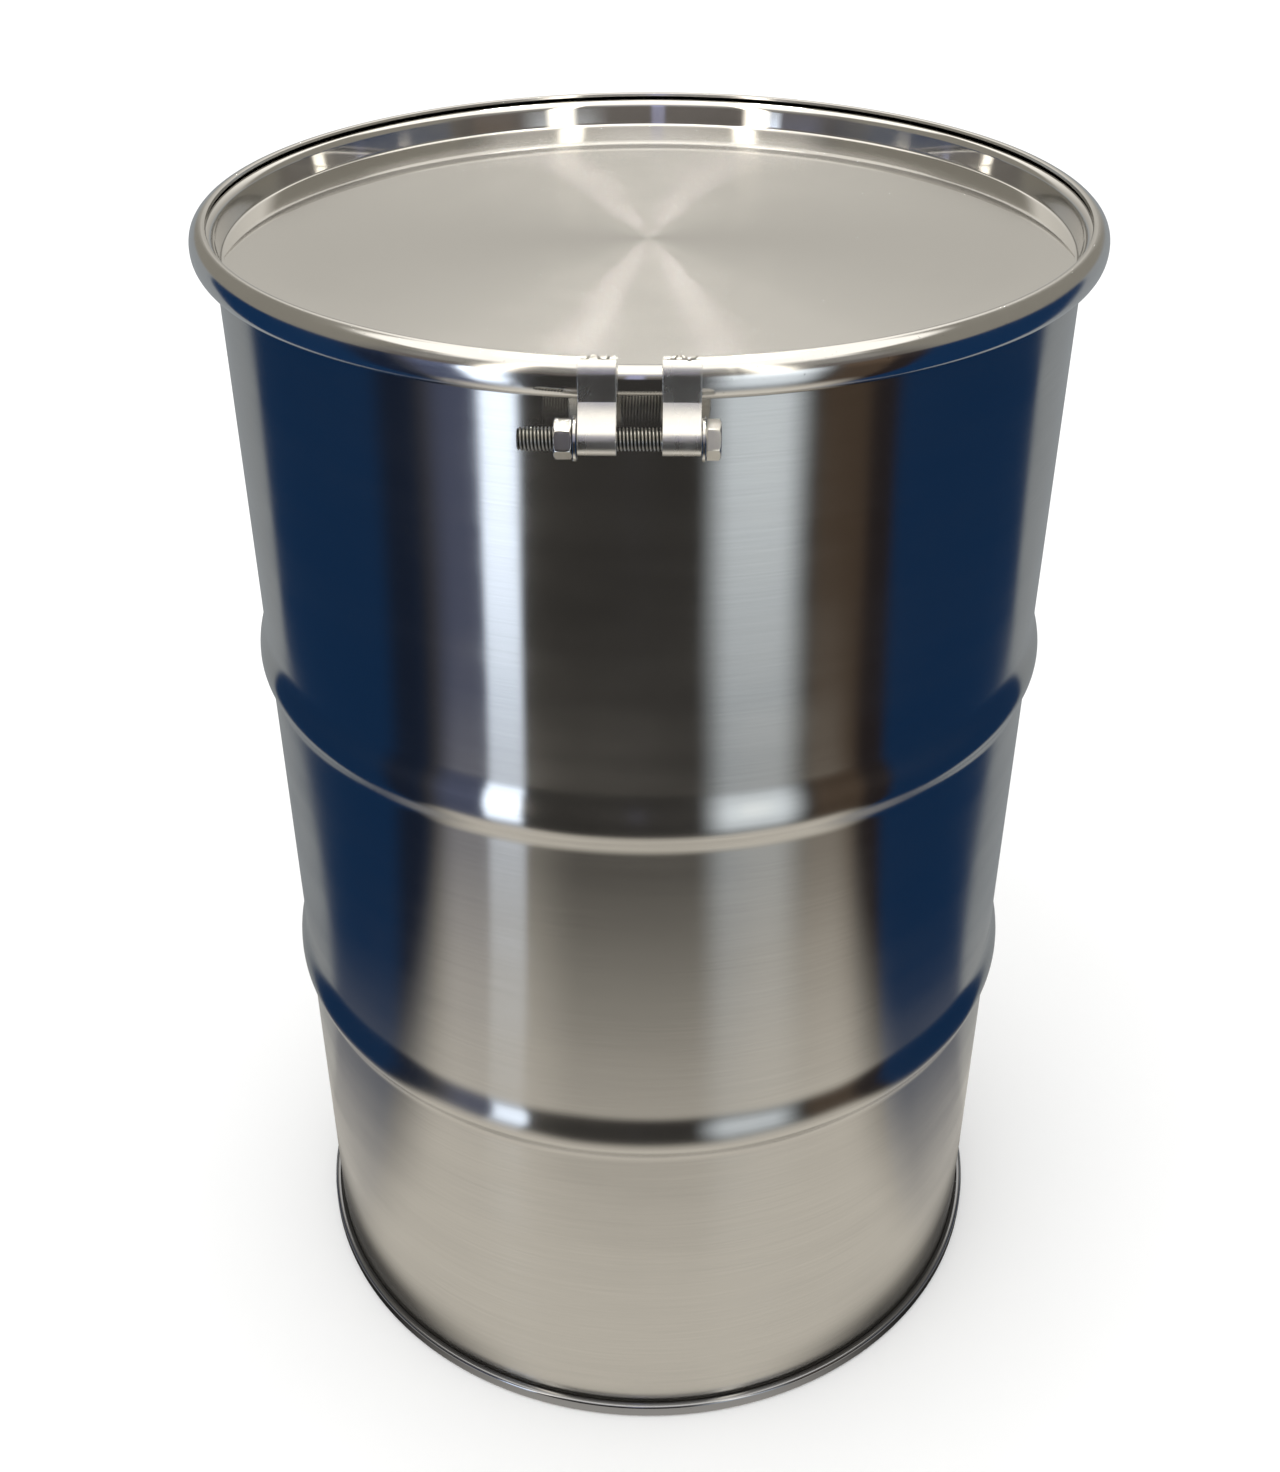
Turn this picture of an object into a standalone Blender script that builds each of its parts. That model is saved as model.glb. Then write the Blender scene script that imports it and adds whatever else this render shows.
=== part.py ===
"""Stainless open-head drum with a drop-on lid and a bolted closure ring.

Metres, +Z up. The origin is on the floor at the middle of the drum's footprint
box, which the bolt makes deeper at the front (-Y), so the drum's own axis stands
a little behind it. Section points are written as (radius, height) in millimetres.
"""
import math

import bmesh
import bpy
from mathutils import Matrix, Vector

MM = 0.001
GAP = 0.3                     # left between pieces that touch

# Driving dimensions, in millimetres.
SEGMENTS = 40                 # facets around every round piece
BODY_RADIUS = 287.0           # outside of the plain wall, 55 US gallon drum
RING_RADIUS = 301.5           # outside of the closure ring
RING_TOP = 900.0              # height of the closure ring's top
RING_LIP = 290.4              # inner edge of its top, over the lid's rim
RING_HOOK = 292.0             # inner edge of its underside, under the bead
SHEET = 1.2                   # body, head and lid sheet
BAND = 2.0                    # closure ring and lug strap
HOOP_HEIGHTS = (308.4, 586.7)
HOOP_PROUD = 5.8
HOOP_HALF_WIDTH = 26.0
HOOP_STEPS = 6
CHIME_RADIUS = 294.0
CHIME_HEIGHT = 14.0
PANEL_HEIGHT = 13.0           # underside head above the floor
BEAD_RADIUS = 4.8             # middle of the rolled bead's sheet
BEAD_HEIGHT = 884.0
LID_FLOOR = 876.2             # middle of the lid's sheet beside its wall
LID_DISH = 4.8                # how far the lid's centre lies below that
BOLT_OUT = 311.0              # bolt axis from the drum's axis
BOLT_HEIGHT = 861.8
BOLT_RADIUS = 6.35            # half inch, 13 threads to the inch
BOLT_LENGTH = 100.0
HEAD_FLATS = 19.05
HEAD_HEIGHT = 7.9
NUT_HEIGHT = 10.0
WASHER_RADIUS = 12.0
WASHER_THICKNESS = 2.0
LUG_WIDTH = 20.5
LUG_GAP = 24.4                # between the lugs with the ring closed
LOOP_RADIUS = 7.8             # middle of the strap around the bolt

BOLT_BORE = BOLT_RADIUS + 0.35
HALF_SHEET = SHEET / 2
HALF_BAND = BAND / 2
WALL = BODY_RADIUS - HALF_SHEET
BEAD_CENTRE = WALL + BEAD_RADIUS
AXIS_Y = (BOLT_OUT + WASHER_RADIUS - RING_RADIUS) / 2
LUG_OUTER_FACE = LUG_GAP / 2 + LUG_WIDTH
HEAD_FACE = LUG_OUTER_FACE + WASHER_THICKNESS + 2 * GAP

FINISHES = {                  # colour, roughness, metallic
    "brushed_stainless": ((0.60, 0.59, 0.56), 0.24, 1.0),
    "polished_stainless": ((0.66, 0.66, 0.65), 0.14, 1.0),
    "zinc_plated": ((0.56, 0.57, 0.58), 0.28, 1.0),
    "gasket_rubber": ((0.035, 0.035, 0.037), 0.62, 0.0),
    "seam_compound": ((0.16, 0.15, 0.13), 0.70, 0.0),
}


def arc(centre, radius, start, end, steps):
    """Points on a circle from one angle to another, in degrees."""
    points = []
    for i in range(steps + 1):
        a = math.radians(start + (end - start) * i / steps)
        points.append((centre[0] + radius * math.cos(a), centre[1] + radius * math.sin(a)))
    return points


def tangent_angle(point, centre, radius, side):
    """Angle, in degrees, at which a line from a point touches a circle."""
    dx, dy = point[0] - centre[0], point[1] - centre[1]
    spread = math.degrees(math.acos(radius / math.hypot(dx, dy)))
    return math.degrees(math.atan2(dy, dx)) + side * spread


def thicken(path, half, closed_on_axis=False):
    """A closed outline that follows an open path with the same thickness all along."""
    directions = []
    for (r0, z0), (r1, z1) in zip(path, path[1:]):
        length = math.hypot(r1 - r0, z1 - z0)
        directions.append(((r1 - r0) / length, (z1 - z0) / length))
    left, right = [], []
    for i, (r, z) in enumerate(path):
        before = directions[max(i - 1, 0)]
        after = directions[min(i, len(directions) - 1)]
        if closed_on_axis and i == 0:
            before = after = (1.0, 0.0)
        normal = (-(before[1] + after[1]), before[0] + after[0])
        size = math.hypot(*normal)
        normal = (normal[0] / size, normal[1] / size)
        reach = half / (normal[1] * before[0] - normal[0] * before[1])
        left.append((r + normal[0] * reach, z + normal[1] * reach))
        right.append((r - normal[0] * reach, z - normal[1] * reach))
    return left + right[::-1]


def new_object(name, finish, bm):
    """Turn a bmesh into a named object with its own material."""
    bmesh.ops.recalc_face_normals(bm, faces=bm.faces)
    mesh = bpy.data.meshes.new(name)
    bm.to_mesh(mesh)
    bm.free()
    mesh.shade_smooth()
    mesh.set_sharp_from_angle(angle=math.radians(32))
    colour, roughness, metallic = FINISHES[finish]
    material = bpy.data.materials.new(name)
    material.use_nodes = True
    shader = material.node_tree.nodes["Principled BSDF"]
    shader.inputs["Base Color"].default_value = (*colour, 1.0)
    shader.inputs["Roughness"].default_value = roughness
    shader.inputs["Metallic"].default_value = metallic
    mesh.materials.append(material)
    made = bpy.data.objects.new(name, mesh)
    bpy.context.scene.collection.objects.link(made)
    return made


def turned(name, finish, outline):
    """Spin a closed outline of (radius, height) a full turn about the drum's axis."""
    bm = bmesh.new()
    verts = [bm.verts.new((r * MM, 0, z * MM)) for r, z in outline]
    loop = [bm.edges.new((a, b)) for a, b in zip(verts, verts[1:] + verts[:1])]
    bmesh.ops.spin(bm, geom=verts + loop, cent=(0, 0, 0), axis=(0, 0, 1),
                   angle=2 * math.pi, steps=SEGMENTS, use_merge=True)
    bmesh.ops.remove_doubles(bm, verts=bm.verts, dist=1e-6)
    bmesh.ops.dissolve_degenerate(bm, edges=bm.edges, dist=1e-6)
    made = new_object(name, finish, bm)
    made.location.y = AXIS_Y * MM
    return made


def split_band(name, finish, outline, half_gap):
    """Spin an outline round the drum from one side of a gap at the front to the other."""
    front = -math.pi / 2
    opening = math.asin(half_gap / RING_RADIUS)
    step = 2 * math.pi / SEGMENTS
    angles = [front + opening]
    angles += [front + step * i for i in range(1, SEGMENTS)]
    angles += [front + 2 * math.pi - opening]
    sections = []
    for a in angles:
        sections.append([(r * math.cos(a) * MM, r * math.sin(a) * MM, z * MM) for r, z in outline])
    made = loft(name, finish, sections)
    made.location.y = AXIS_Y * MM
    return made


def loft(name, finish, sections, ends=True):
    """Join loops of equal length in order, and cap both ends or join the last to the first."""
    bm = bmesh.new()
    rings = [[bm.verts.new(point) for point in section] for section in sections]
    pairs = list(zip(rings, rings[1:]))
    if ends:
        bm.faces.new(rings[0][::-1])
        bm.faces.new(rings[-1])
    else:
        pairs.append((rings[-1], rings[0]))
    for one, two in pairs:
        count = len(one)
        for i in range(count):
            j = (i + 1) % count
            bm.faces.new((one[i], one[j], two[j], two[i]))
    return new_object(name, finish, bm)


def extruded(name, finish, outline, left, right):
    """A closed outline of (distance out, height) pushed along X at the drum's front."""
    sections = []
    for x in (left, right):
        sections.append([(x * MM, -out * MM, z * MM) for out, z in outline])
    made = loft(name, finish, sections)
    made.location.y = AXIS_Y * MM
    return made


def around_bolt(x, radius_at, count=24):
    """A loop around the bolt's axis at one X; radius_at gives its radius at an angle."""
    points = []
    for i in range(count):
        a = 2 * math.pi * i / count
        points.append((x * MM, radius_at(a) * math.cos(a) * MM, radius_at(a) * math.sin(a) * MM))
    return points


def circle(radius):
    """Radius of a circle at any angle."""
    return lambda angle: radius


def hexagon(flats):
    """Radius of a hexagon at an angle, with a corner at angle 0."""
    sector = math.pi / 3
    return lambda angle: flats / 2 / math.cos(angle % sector - sector / 2)


def on_bolt(made, turn=0.0):
    """Put a piece made around the bolt's axis where the bolt is."""
    made.matrix_world = (Matrix.Translation(Vector((0, (AXIS_Y - BOLT_OUT) * MM, BOLT_HEIGHT * MM)))
                         @ Matrix.Rotation(math.radians(turn), 4, "X"))
    return made


def hoop(height):
    """Middle of the wall's sheet through one rolled hoop, from below."""
    points = []
    for i in range(HOOP_STEPS + 1):
        t = 2 * i / HOOP_STEPS - 1
        swell = HOOP_PROUD * (1 + math.cos(math.pi * t)) / 2
        points.append((WALL + swell, height + t * HOOP_HALF_WIDTH))
    return points


def make_body():
    """Wall with hoops, rolled bead and bottom flange, the head folded round it, and the sealant."""
    hook_radius = CHIME_RADIUS - SHEET - HALF_SHEET - 2 * GAP
    flange_height = SHEET + GAP + HALF_SHEET
    wall = [(hook_radius, 9.5), (hook_radius, flange_height + 1.5)]
    wall += arc((hook_radius - 1.5, flange_height + 1.5), 1.5, 0, -90, 2)[1:]
    wall += [(WALL + 1.8, flange_height), (WALL, flange_height + 1.8)]
    for height in HOOP_HEIGHTS:
        wall += hoop(height)
    wall += arc((BEAD_CENTRE, BEAD_HEIGHT), BEAD_RADIUS, 180, -120, 8)
    turned("shell", "brushed_stainless", thicken(wall, HALF_SHEET))

    recess = WALL - SHEET - GAP
    fold = CHIME_RADIUS - HALF_SHEET
    head = [(0, PANEL_HEIGHT), (recess - 5, PANEL_HEIGHT)]
    head += arc((recess - 4, PANEL_HEIGHT - 4), 4, 80, 0, 2)
    head += arc((recess + 2, HALF_SHEET + 2), 2, 180, 270, 2)
    head += arc((fold - 2, HALF_SHEET + 2), 2, 270, 360, 2)
    head += arc((fold - 2, CHIME_HEIGHT - HALF_SHEET - 2), 2, 0, 90, 2)
    head += [(BODY_RADIUS + 1.2, CHIME_HEIGHT - HALF_SHEET)]
    turned("bottom_head", "brushed_stainless", thicken(head, HALF_SHEET, closed_on_axis=True))

    inner, outer = BODY_RADIUS + GAP, hook_radius - HALF_SHEET - GAP
    low, high = flange_height + HALF_SHEET + 2.0, CHIME_HEIGHT - SHEET - GAP
    turned("seam_compound", "seam_compound",
           [(inner, low), (outer, low), (outer, high), (inner, high)])


def make_lid():
    """Dished lid with a plug wall and a curled rim over the bead, and the gasket in the curl."""
    wall_foot, wall_top = WALL - 2.9, WALL - 0.7
    crown, skirt = WALL + 5.1, WALL + 12.2
    middle = [(0, LID_FLOOR - LID_DISH)]
    for share in (0.33, 0.66, 0.9):
        middle.append((280 * share, LID_FLOOR - LID_DISH * (1 - share ** 2)))
    middle += [(wall_foot - 2.6, LID_FLOOR)]
    middle += arc((wall_foot - 2.0, LID_FLOOR + 2.0), 2.0, 285, 350, 2)
    middle += [(wall_foot + 0.2, LID_FLOOR + 3.0)]
    middle += arc((crown, BEAD_HEIGHT + 5.2), crown - wall_top, 172, 90, 4)
    middle += arc((skirt - 4.8, BEAD_HEIGHT + 6.2), 4.8, 90, 0, 3)
    middle += [(skirt, BEAD_HEIGHT - 2.8)]
    turned("lid", "brushed_stainless", thicken(middle, HALF_SHEET, closed_on_axis=True))

    seat = BEAD_HEIGHT + BEAD_RADIUS + HALF_SHEET + GAP
    section = [(crown - 3.6, seat), (crown + 5.8, seat), (crown + 5.3, seat + 2.5),
               (crown + 2.7, seat + 4.2), (crown - 0.8, seat + 4.2), (crown - 2.5, seat + 2.9)]
    turned("lid_gasket", "gasket_rubber", section)


def make_ring():
    """Split channel band that hooks over the lid's rim and under the bead, with its two lugs."""
    outside = RING_RADIUS - HALF_BAND
    top = RING_TOP - HALF_BAND
    low = BEAD_HEIGHT - 7.0
    section = [(RING_LIP, top - 1.75), (RING_LIP + 2.2, top)]
    section += arc((outside - 5.5, top - 5.5), 5.5, 90, 0, 4)
    section += arc((outside - 5.0, low + 5.0), 5.0, 0, -90, 3)
    section += [(RING_HOOK, low)]
    split_band("closure_ring", "polished_stainless", thicken(section, HALF_BAND), LUG_GAP / 2)

    front = RING_RADIUS + GAP + HALF_BAND
    shoulder = RING_TOP + GAP + HALF_BAND
    bend = front - (outside - 5.5)
    crease = (front, BEAD_HEIGHT - 5.5)
    axis = (BOLT_OUT, BOLT_HEIGHT)
    heel = (outside - 2.1, BEAD_HEIGHT - 9.3)
    strap = [(293.0, shoulder)]
    strap += arc((front - bend, shoulder - bend), bend, 90, 0, 4)
    strap += [crease]
    strap += arc(axis, LOOP_RADIUS, tangent_angle(crease, axis, LOOP_RADIUS, -1),
                 tangent_angle(heel, axis, LOOP_RADIUS, 1) - 360, 11)
    strap += [heel]
    outline = thicken(strap, HALF_BAND)
    near, far = LUG_GAP / 2, LUG_OUTER_FACE
    extruded("lug_left", "polished_stainless", outline, -far, -near)
    extruded("lug_right", "polished_stainless", outline, near, far)


def make_fasteners():
    """Hexagon bolt through both lugs, a washer under its head, and a washer and nut at its end."""
    tip = HEAD_FACE - BOLT_LENGTH
    top = HEAD_FACE + HEAD_HEIGHT
    sections = [around_bolt(tip, circle(BOLT_RADIUS - 1.2)),
                around_bolt(tip + 1.2, circle(BOLT_RADIUS)),
                around_bolt(HEAD_FACE, circle(BOLT_RADIUS)),
                around_bolt(HEAD_FACE, hexagon(HEAD_FLATS)),
                around_bolt(top - 1.0, hexagon(HEAD_FLATS)),
                around_bolt(top, circle(HEAD_FLATS / 2 - 0.4))]
    on_bolt(loft("closure_bolt", "zinc_plated", sections), turn=8)

    right = LUG_OUTER_FACE + GAP
    left = -LUG_OUTER_FACE - GAP
    for name, start in (("bolt_washer", right), ("nut_washer", left - WASHER_THICKNESS)):
        end = start + WASHER_THICKNESS
        on_bolt(loft(name, "zinc_plated", [
            around_bolt(start, circle(WASHER_RADIUS)), around_bolt(end, circle(WASHER_RADIUS)),
            around_bolt(end, circle(BOLT_BORE)), around_bolt(start, circle(BOLT_BORE))], ends=False))

    inner = left - WASHER_THICKNESS - GAP
    outer = inner - NUT_HEIGHT
    on_bolt(loft("closure_nut", "zinc_plated", [
        around_bolt(outer, circle(HEAD_FLATS / 2 - 0.3)),
        around_bolt(outer + 1.0, hexagon(HEAD_FLATS)), around_bolt(inner - 1.0, hexagon(HEAD_FLATS)),
        around_bolt(inner, circle(HEAD_FLATS / 2 - 0.3)),
        around_bolt(inner, circle(BOLT_BORE)), around_bolt(outer, circle(BOLT_BORE))],
        ends=False), turn=15)


for leftover in list(bpy.data.objects):
    bpy.data.objects.remove(leftover)
make_body()
make_lid()
make_ring()
make_fasteners()
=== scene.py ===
"""Looks of a stainless open-head drum with a bolted closure ring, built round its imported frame.

Outlines are written as (distance from the drum's axis, height) in millimetres; everything that reaches
Blender is in metres, +Z up, with the closure bolt at the front (-Y).
"""

import logging
import math
from dataclasses import dataclass, replace
from enum import Enum
from typing import Callable, Iterable, Optional, Sequence, Union

import bmesh
import bpy
from mathutils import Matrix, Vector, noise


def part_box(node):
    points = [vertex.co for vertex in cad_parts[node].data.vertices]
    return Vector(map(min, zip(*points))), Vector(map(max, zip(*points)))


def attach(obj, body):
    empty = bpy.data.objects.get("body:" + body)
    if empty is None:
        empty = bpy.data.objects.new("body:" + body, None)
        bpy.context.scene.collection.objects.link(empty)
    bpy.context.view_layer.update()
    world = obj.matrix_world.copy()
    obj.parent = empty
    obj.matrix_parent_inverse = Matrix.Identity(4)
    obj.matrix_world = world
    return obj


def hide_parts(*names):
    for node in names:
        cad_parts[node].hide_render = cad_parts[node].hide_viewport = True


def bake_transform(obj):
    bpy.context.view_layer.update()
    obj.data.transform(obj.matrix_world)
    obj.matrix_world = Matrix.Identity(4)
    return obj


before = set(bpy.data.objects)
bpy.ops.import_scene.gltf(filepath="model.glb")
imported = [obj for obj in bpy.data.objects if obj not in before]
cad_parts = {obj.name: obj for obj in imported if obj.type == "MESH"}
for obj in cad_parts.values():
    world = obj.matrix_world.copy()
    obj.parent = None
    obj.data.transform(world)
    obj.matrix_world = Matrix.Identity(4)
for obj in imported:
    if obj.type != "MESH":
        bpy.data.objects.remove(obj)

MM = 0.001
SMOOTH_LIMIT = math.radians(38)
log = logging.getLogger("drum")

Point = tuple[float, float]
Colour = tuple[float, float, float]
Step = tuple[float, float]
Socket = bpy.types.NodeSocket
Source = Union[Socket, float, Sequence[float]]
Warp = Callable[[float, float, float], Point]

VALUE = "NodeSocketFloat"
VECTOR = "NodeSocketVector"


def box_centre(node: str) -> Vector:
    """Middle of a frame node's box at rest."""
    low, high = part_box(node)
    return (low + high) / 2


AXIS_Y = box_centre("shell").y
BOLT_AXIS = box_centre("bolt_washer")


# ---------------------------------------------------------------- outlines

def arc(centre: Point, radius: float, start: float, end: float, steps: int) -> list[Point]:
    """Points along part of a circle.

    Args:
        centre: Centre of the circle.
        radius: Its radius.
        start: First angle, in degrees.
        end: Last angle, in degrees.
        steps: Number of chords.

    Returns:
        The points, both ends included.
    """
    points = []
    for i in range(steps + 1):
        angle = math.radians(start + (end - start) * i / steps)
        points.append((centre[0] + radius * math.cos(angle), centre[1] + radius * math.sin(angle)))
    return points


def tangent_angle(point: Point, centre: Point, radius: float, side: int) -> float:
    """Where a straight line from a point touches a circle.

    Args:
        point: The point outside the circle.
        centre: Centre of the circle.
        radius: Its radius.
        side: 1 or -1, for one or the other of the two lines.

    Returns:
        The angle of the touching point, in degrees.
    """
    dx, dy = point[0] - centre[0], point[1] - centre[1]
    spread = math.degrees(math.acos(radius / math.hypot(dx, dy)))
    return math.degrees(math.atan2(dy, dx)) + side * spread


def thicken(path: Sequence[Point], half: float, from_axis: bool = False) -> list[Point]:
    """Give an open mid-line the same sheet thickness all along.

    Args:
        path: The middle of the sheet.
        half: Half the sheet's thickness.
        from_axis: True if the path starts on the drum's axis, where the sheet closes on itself.

    Returns:
        The closed outline of the sheet.
    """
    directions = []
    for (r0, z0), (r1, z1) in zip(path, path[1:]):
        length = math.hypot(r1 - r0, z1 - z0)
        directions.append(((r1 - r0) / length, (z1 - z0) / length))
    left, right = [], []
    for i, (r, z) in enumerate(path):
        before = directions[max(i - 1, 0)]
        after = directions[min(i, len(directions) - 1)]
        if from_axis and i == 0:
            before = after = (1.0, 0.0)
        normal = (-(before[1] + after[1]), before[0] + after[0])
        size = math.hypot(*normal)
        normal = (normal[0] / size, normal[1] / size)
        reach = half / (normal[1] * before[0] - normal[0] * before[1])
        left.append((r + normal[0] * reach, z + normal[1] * reach))
        right.append((r - normal[0] * reach, z - normal[1] * reach))
    return left + right[::-1]


def round_corners(outline: Sequence[Point], radius: float, closed: bool = True,
                  steps: int = 3) -> list[Point]:
    """Break the sharp corners of an outline with small arcs.

    Args:
        outline: The outline's points.
        radius: Radius of the broken corner.
        closed: False for an outline that starts and ends on the axis.
        steps: Chords in each arc.

    Returns:
        The outline with its sharp corners rounded.
    """
    sharp = math.radians(50)
    count = len(outline)
    rounded: list[Point] = []
    for i, point in enumerate(outline):
        if not closed and i in (0, count - 1):
            rounded.append(point)
            continue
        here = Vector(point)
        back = Vector(outline[i - 1]) - here
        ahead = Vector(outline[(i + 1) % count]) - here
        opening = back.angle(ahead)
        if math.pi - opening < sharp:
            rounded.append(point)
            continue
        reach = min(radius / math.tan(opening / 2), 0.45 * back.length, 0.45 * ahead.length)
        start, end = here + back.normalized() * reach, here + ahead.normalized() * reach
        for k in range(steps + 1):
            t = k / steps
            bent = start * (1 - t) ** 2 + here * 2 * t * (1 - t) + end * t ** 2
            rounded.append((bent.x, bent.y))
    return rounded


def refine(path: Sequence[Point], longest: float) -> list[Point]:
    """Divide an outline's long straight runs.

    Args:
        path: The points.
        longest: Longest run that may stay.

    Returns:
        The points with others put between them.
    """
    fine = [path[0]]
    for (r0, z0), (r1, z1) in zip(path, path[1:]):
        parts = max(1, math.ceil(math.hypot(r1 - r0, z1 - z0) / longest))
        fine += [(r0 + (r1 - r0) * k / parts, z0 + (z1 - z0) * k / parts) for k in range(1, parts + 1)]
    return fine


# ---------------------------------------------------------------- meshes

def finish_mesh(name: str, vertices: Sequence[Sequence[float]], faces: Sequence[Sequence[int]],
                uvs: Sequence[Point]) -> bpy.types.Object:
    """Turn lists into a smooth-shaded object with one UV map.

    Args:
        name: Name of the piece.
        vertices: Points in metres.
        faces: Vertex numbers of each face.
        uvs: One coordinate for each corner of each face, in order.

    Returns:
        The new object.
    """
    mesh = bpy.data.meshes.new(name)
    mesh.from_pydata(vertices, [], faces)
    layer = mesh.uv_layers.new(name="UVMap")
    layer.data.foreach_set("uv", [value for uv in uvs for value in uv])
    bm = bmesh.new()
    bm.from_mesh(mesh)
    bmesh.ops.recalc_face_normals(bm, faces=bm.faces)
    bm.to_mesh(mesh)
    bm.free()
    mesh.shade_smooth()
    mesh.set_sharp_from_angle(angle=SMOOTH_LIMIT)
    made = bpy.data.objects.new(name, mesh)
    bpy.context.scene.collection.objects.link(made)
    return made


def running_length(points: Sequence[Sequence[float]]) -> list[float]:
    """Distance along a line of points.

    Args:
        points: The line.

    Returns:
        The distance of each point from the first, along the line.
    """
    total = [0.0]
    for one, two in zip(points, points[1:]):
        total.append(total[-1] + math.dist(one, two))
    return total


def even_angles(start: float, turn: float, segments: int,
                close_to: Iterable[float] = (), spacing: float = 0.004) -> list[float]:
    """Angles for a sweep, with a few closer ones round chosen places.

    Args:
        start: First angle, in radians.
        turn: How far the sweep goes.
        segments: Number of even steps.
        close_to: Angles that need finer steps beside them.
        spacing: Size of those finer steps.

    Returns:
        The angles in order, both ends included.
    """
    angles = {round(start + turn * i / segments, 6) for i in range(segments + 1)}
    for place in close_to:
        angles |= {round(place + spacing * k, 6) for k in range(-4, 5)}
    return sorted(a for a in angles if start - 1e-6 <= a <= start + turn + 1e-6)


def sweep(name: str, outline: Sequence[Point], angles: Sequence[float],
          warp: Optional[Warp] = None) -> bpy.types.Object:
    """Sweep an outline round the drum's axis. U runs along the outline and V round the drum.

    Args:
        name: Name of the piece.
        outline: A closed outline, or one that starts and ends on the axis.
        angles: Angles of the sections, in radians; a full turn closes on itself.
        warp: Moves a point, given its angle, radius and height in millimetres.

    Returns:
        The swept object.
    """
    on_axis = abs(outline[0][0]) < 1e-6 and abs(outline[-1][0]) < 1e-6
    full = abs(angles[-1] - angles[0] - 2 * math.pi) < 1e-5
    columns = len(angles) - 1 if full else len(angles)
    along = running_length(list(outline) + [outline[0]])
    vertices, number = [], []
    for i, (r, z) in enumerate(outline):
        row = []
        for j in range(columns):
            if r < 1e-6 and j > 0:
                row.append(row[0])
                continue
            radius, height = warp(angles[j], r, z) if warp else (r, z)
            row.append(len(vertices))
            vertices.append((radius * math.cos(angles[j]) * MM,
                             radius * math.sin(angles[j]) * MM + AXIS_Y, height * MM))
        number.append(row)
    faces, uvs = [], []
    rows = len(outline) - 1 if on_axis else len(outline)
    for i in range(rows):
        ahead = (i + 1) % len(outline)
        for j in range(len(angles) - 1):
            k = (j + 1) % columns
            corners = [(number[i][j], (along[i], angles[j])), (number[i][k], (along[i], angles[j + 1])),
                       (number[ahead][k], (along[i + 1], angles[j + 1])),
                       (number[ahead][j], (along[i + 1], angles[j]))]
            kept = [c for n, c in enumerate(corners) if c[0] != corners[n - 1][0]]
            faces.append([c[0] for c in kept])
            uvs += [(c[1][0] * MM, c[1][1]) for c in kept]
    if not full:
        for column in (0, columns - 1):
            faces.append([number[i][column] for i in range(len(outline))])
            uvs += [(r * MM, z * MM) for r, z in outline]
    return finish_mesh(name, vertices, faces, uvs)


def loft(name: str, sections: Sequence[Sequence[Sequence[float]]],
         capped: bool = True) -> bpy.types.Object:
    """Join loops of equal length in order. U runs along the piece and V round it.

    Args:
        name: Name of the piece.
        sections: The loops of points, in metres.
        capped: True to close both ends, False to join the last loop to the first.

    Returns:
        The lofted object.
    """
    count = len(sections[0])
    vertices = [tuple(point) for section in sections for point in section]
    along = running_length([section[0] for section in list(sections) + [sections[0]]])
    faces, uvs = [], []
    for s in range(len(sections) - (1 if capped else 0)):
        one, two = s * count, ((s + 1) % len(sections)) * count
        for i in range(count):
            j = (i + 1) % count
            faces.append((one + i, one + j, two + j, two + i))
            v0, v1 = i / count, (i + 1) / count
            uvs += [(along[s], v0), (along[s], v1), (along[s + 1], v1), (along[s + 1], v0)]
    if capped:
        for first in (0, (len(sections) - 1) * count):
            faces.append(tuple(range(first, first + count)))
            uvs += [(p[1], p[2]) for p in vertices[first:first + count]]
    return finish_mesh(name, vertices, faces, uvs)


def ease_edges(piece: bpy.types.Object, width: float, sharper_than: float = 50.0) -> None:
    """Bevel the sharp edges of a piece.

    Args:
        piece: The piece.
        width: Width of the bevel, in millimetres.
        sharper_than: Least angle between the faces beside an edge, in degrees.
    """
    bm = bmesh.new()
    bm.from_mesh(piece.data)
    edges = [e for e in bm.edges if e.is_manifold and e.calc_face_angle() > math.radians(sharper_than)]
    bmesh.ops.bevel(bm, geom=edges, offset=width * MM, segments=3, profile=0.6, affect="EDGES",
                    clamp_overlap=True)
    bm.to_mesh(piece.data)
    bm.free()
    piece.data.shade_smooth()
    piece.data.set_sharp_from_angle(angle=SMOOTH_LIMIT)


# ---------------------------------------------------------------- shader wiring

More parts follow.
